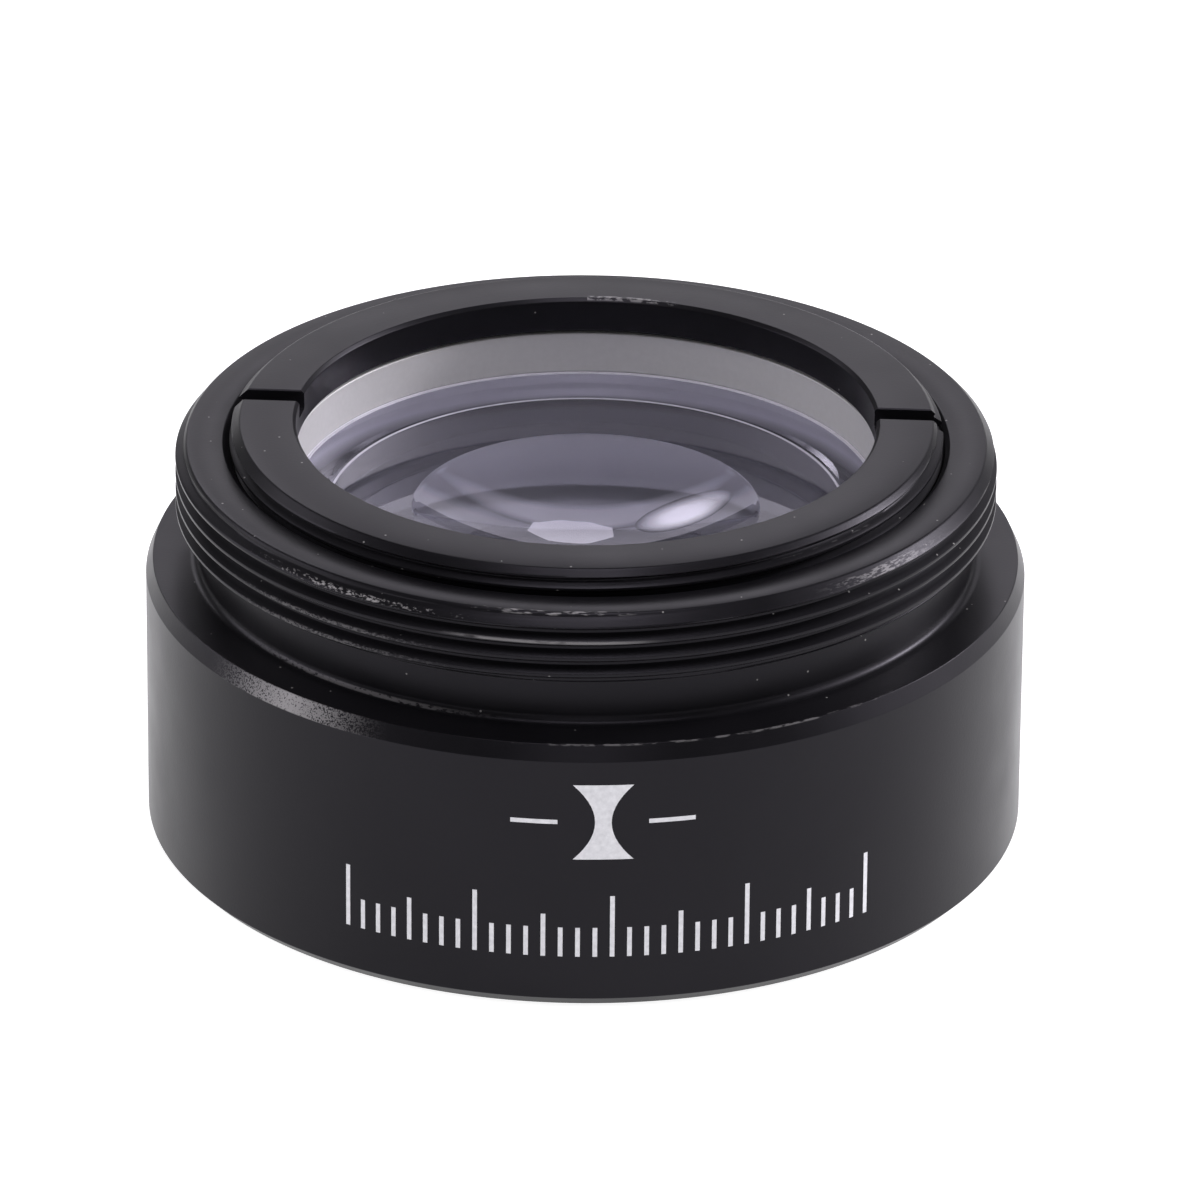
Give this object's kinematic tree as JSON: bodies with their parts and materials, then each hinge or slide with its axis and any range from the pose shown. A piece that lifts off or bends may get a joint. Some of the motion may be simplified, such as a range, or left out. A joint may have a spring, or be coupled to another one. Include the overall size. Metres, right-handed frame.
{
  "type": "barlow lens",
  "caption": "Screw-in negative lens cell for a 1.25 inch eyepiece barrel, with a slotted retaining ring, male thread on top and filter thread below.",
  "frame": {"origin": "centre of the bottom face, on the optical axis", "axes": "+Z along the optical axis towards the retaining ring; -Y towards the marked side; +X to the right of the mark"},
  "size_m": [0.0306, 0.0306, 0.015],
  "materials": {
    "cell": "satin black anodised, white laser mark",
    "ring": "satin black anodised",
    "washer": "black polyester film",
    "spacer": "fine turned, bead blasted bore",
    "glass": "polished, violet-grey antireflection coating, ground edge"
  },
  "bodies": {
    "cell": {"lens_cell": "cell", "spacer_ring": "spacer", "negative_lens": "glass"},
    "washer": {"slip_washer": "washer"},
    "ring": {"retaining_ring": "ring"}
  },
  "joints": [
    {"name": "ring_lift", "type": "slide", "parent": "cell", "child": "washer", "axis": [0, 0, 1], "range_m": [0, 0.0015]},
    {"name": "ring_turn", "type": "hinge", "parent": "washer", "child": "ring", "pos_m": [0, 0, 0.0138], "axis": [0, 0, 1], "range_deg": [0, 1080]}
  ],
  "couplings": [
    {"joint": "ring_lift", "follows": "ring_turn", "m_per_rad": 0.000079577}
  ]
}
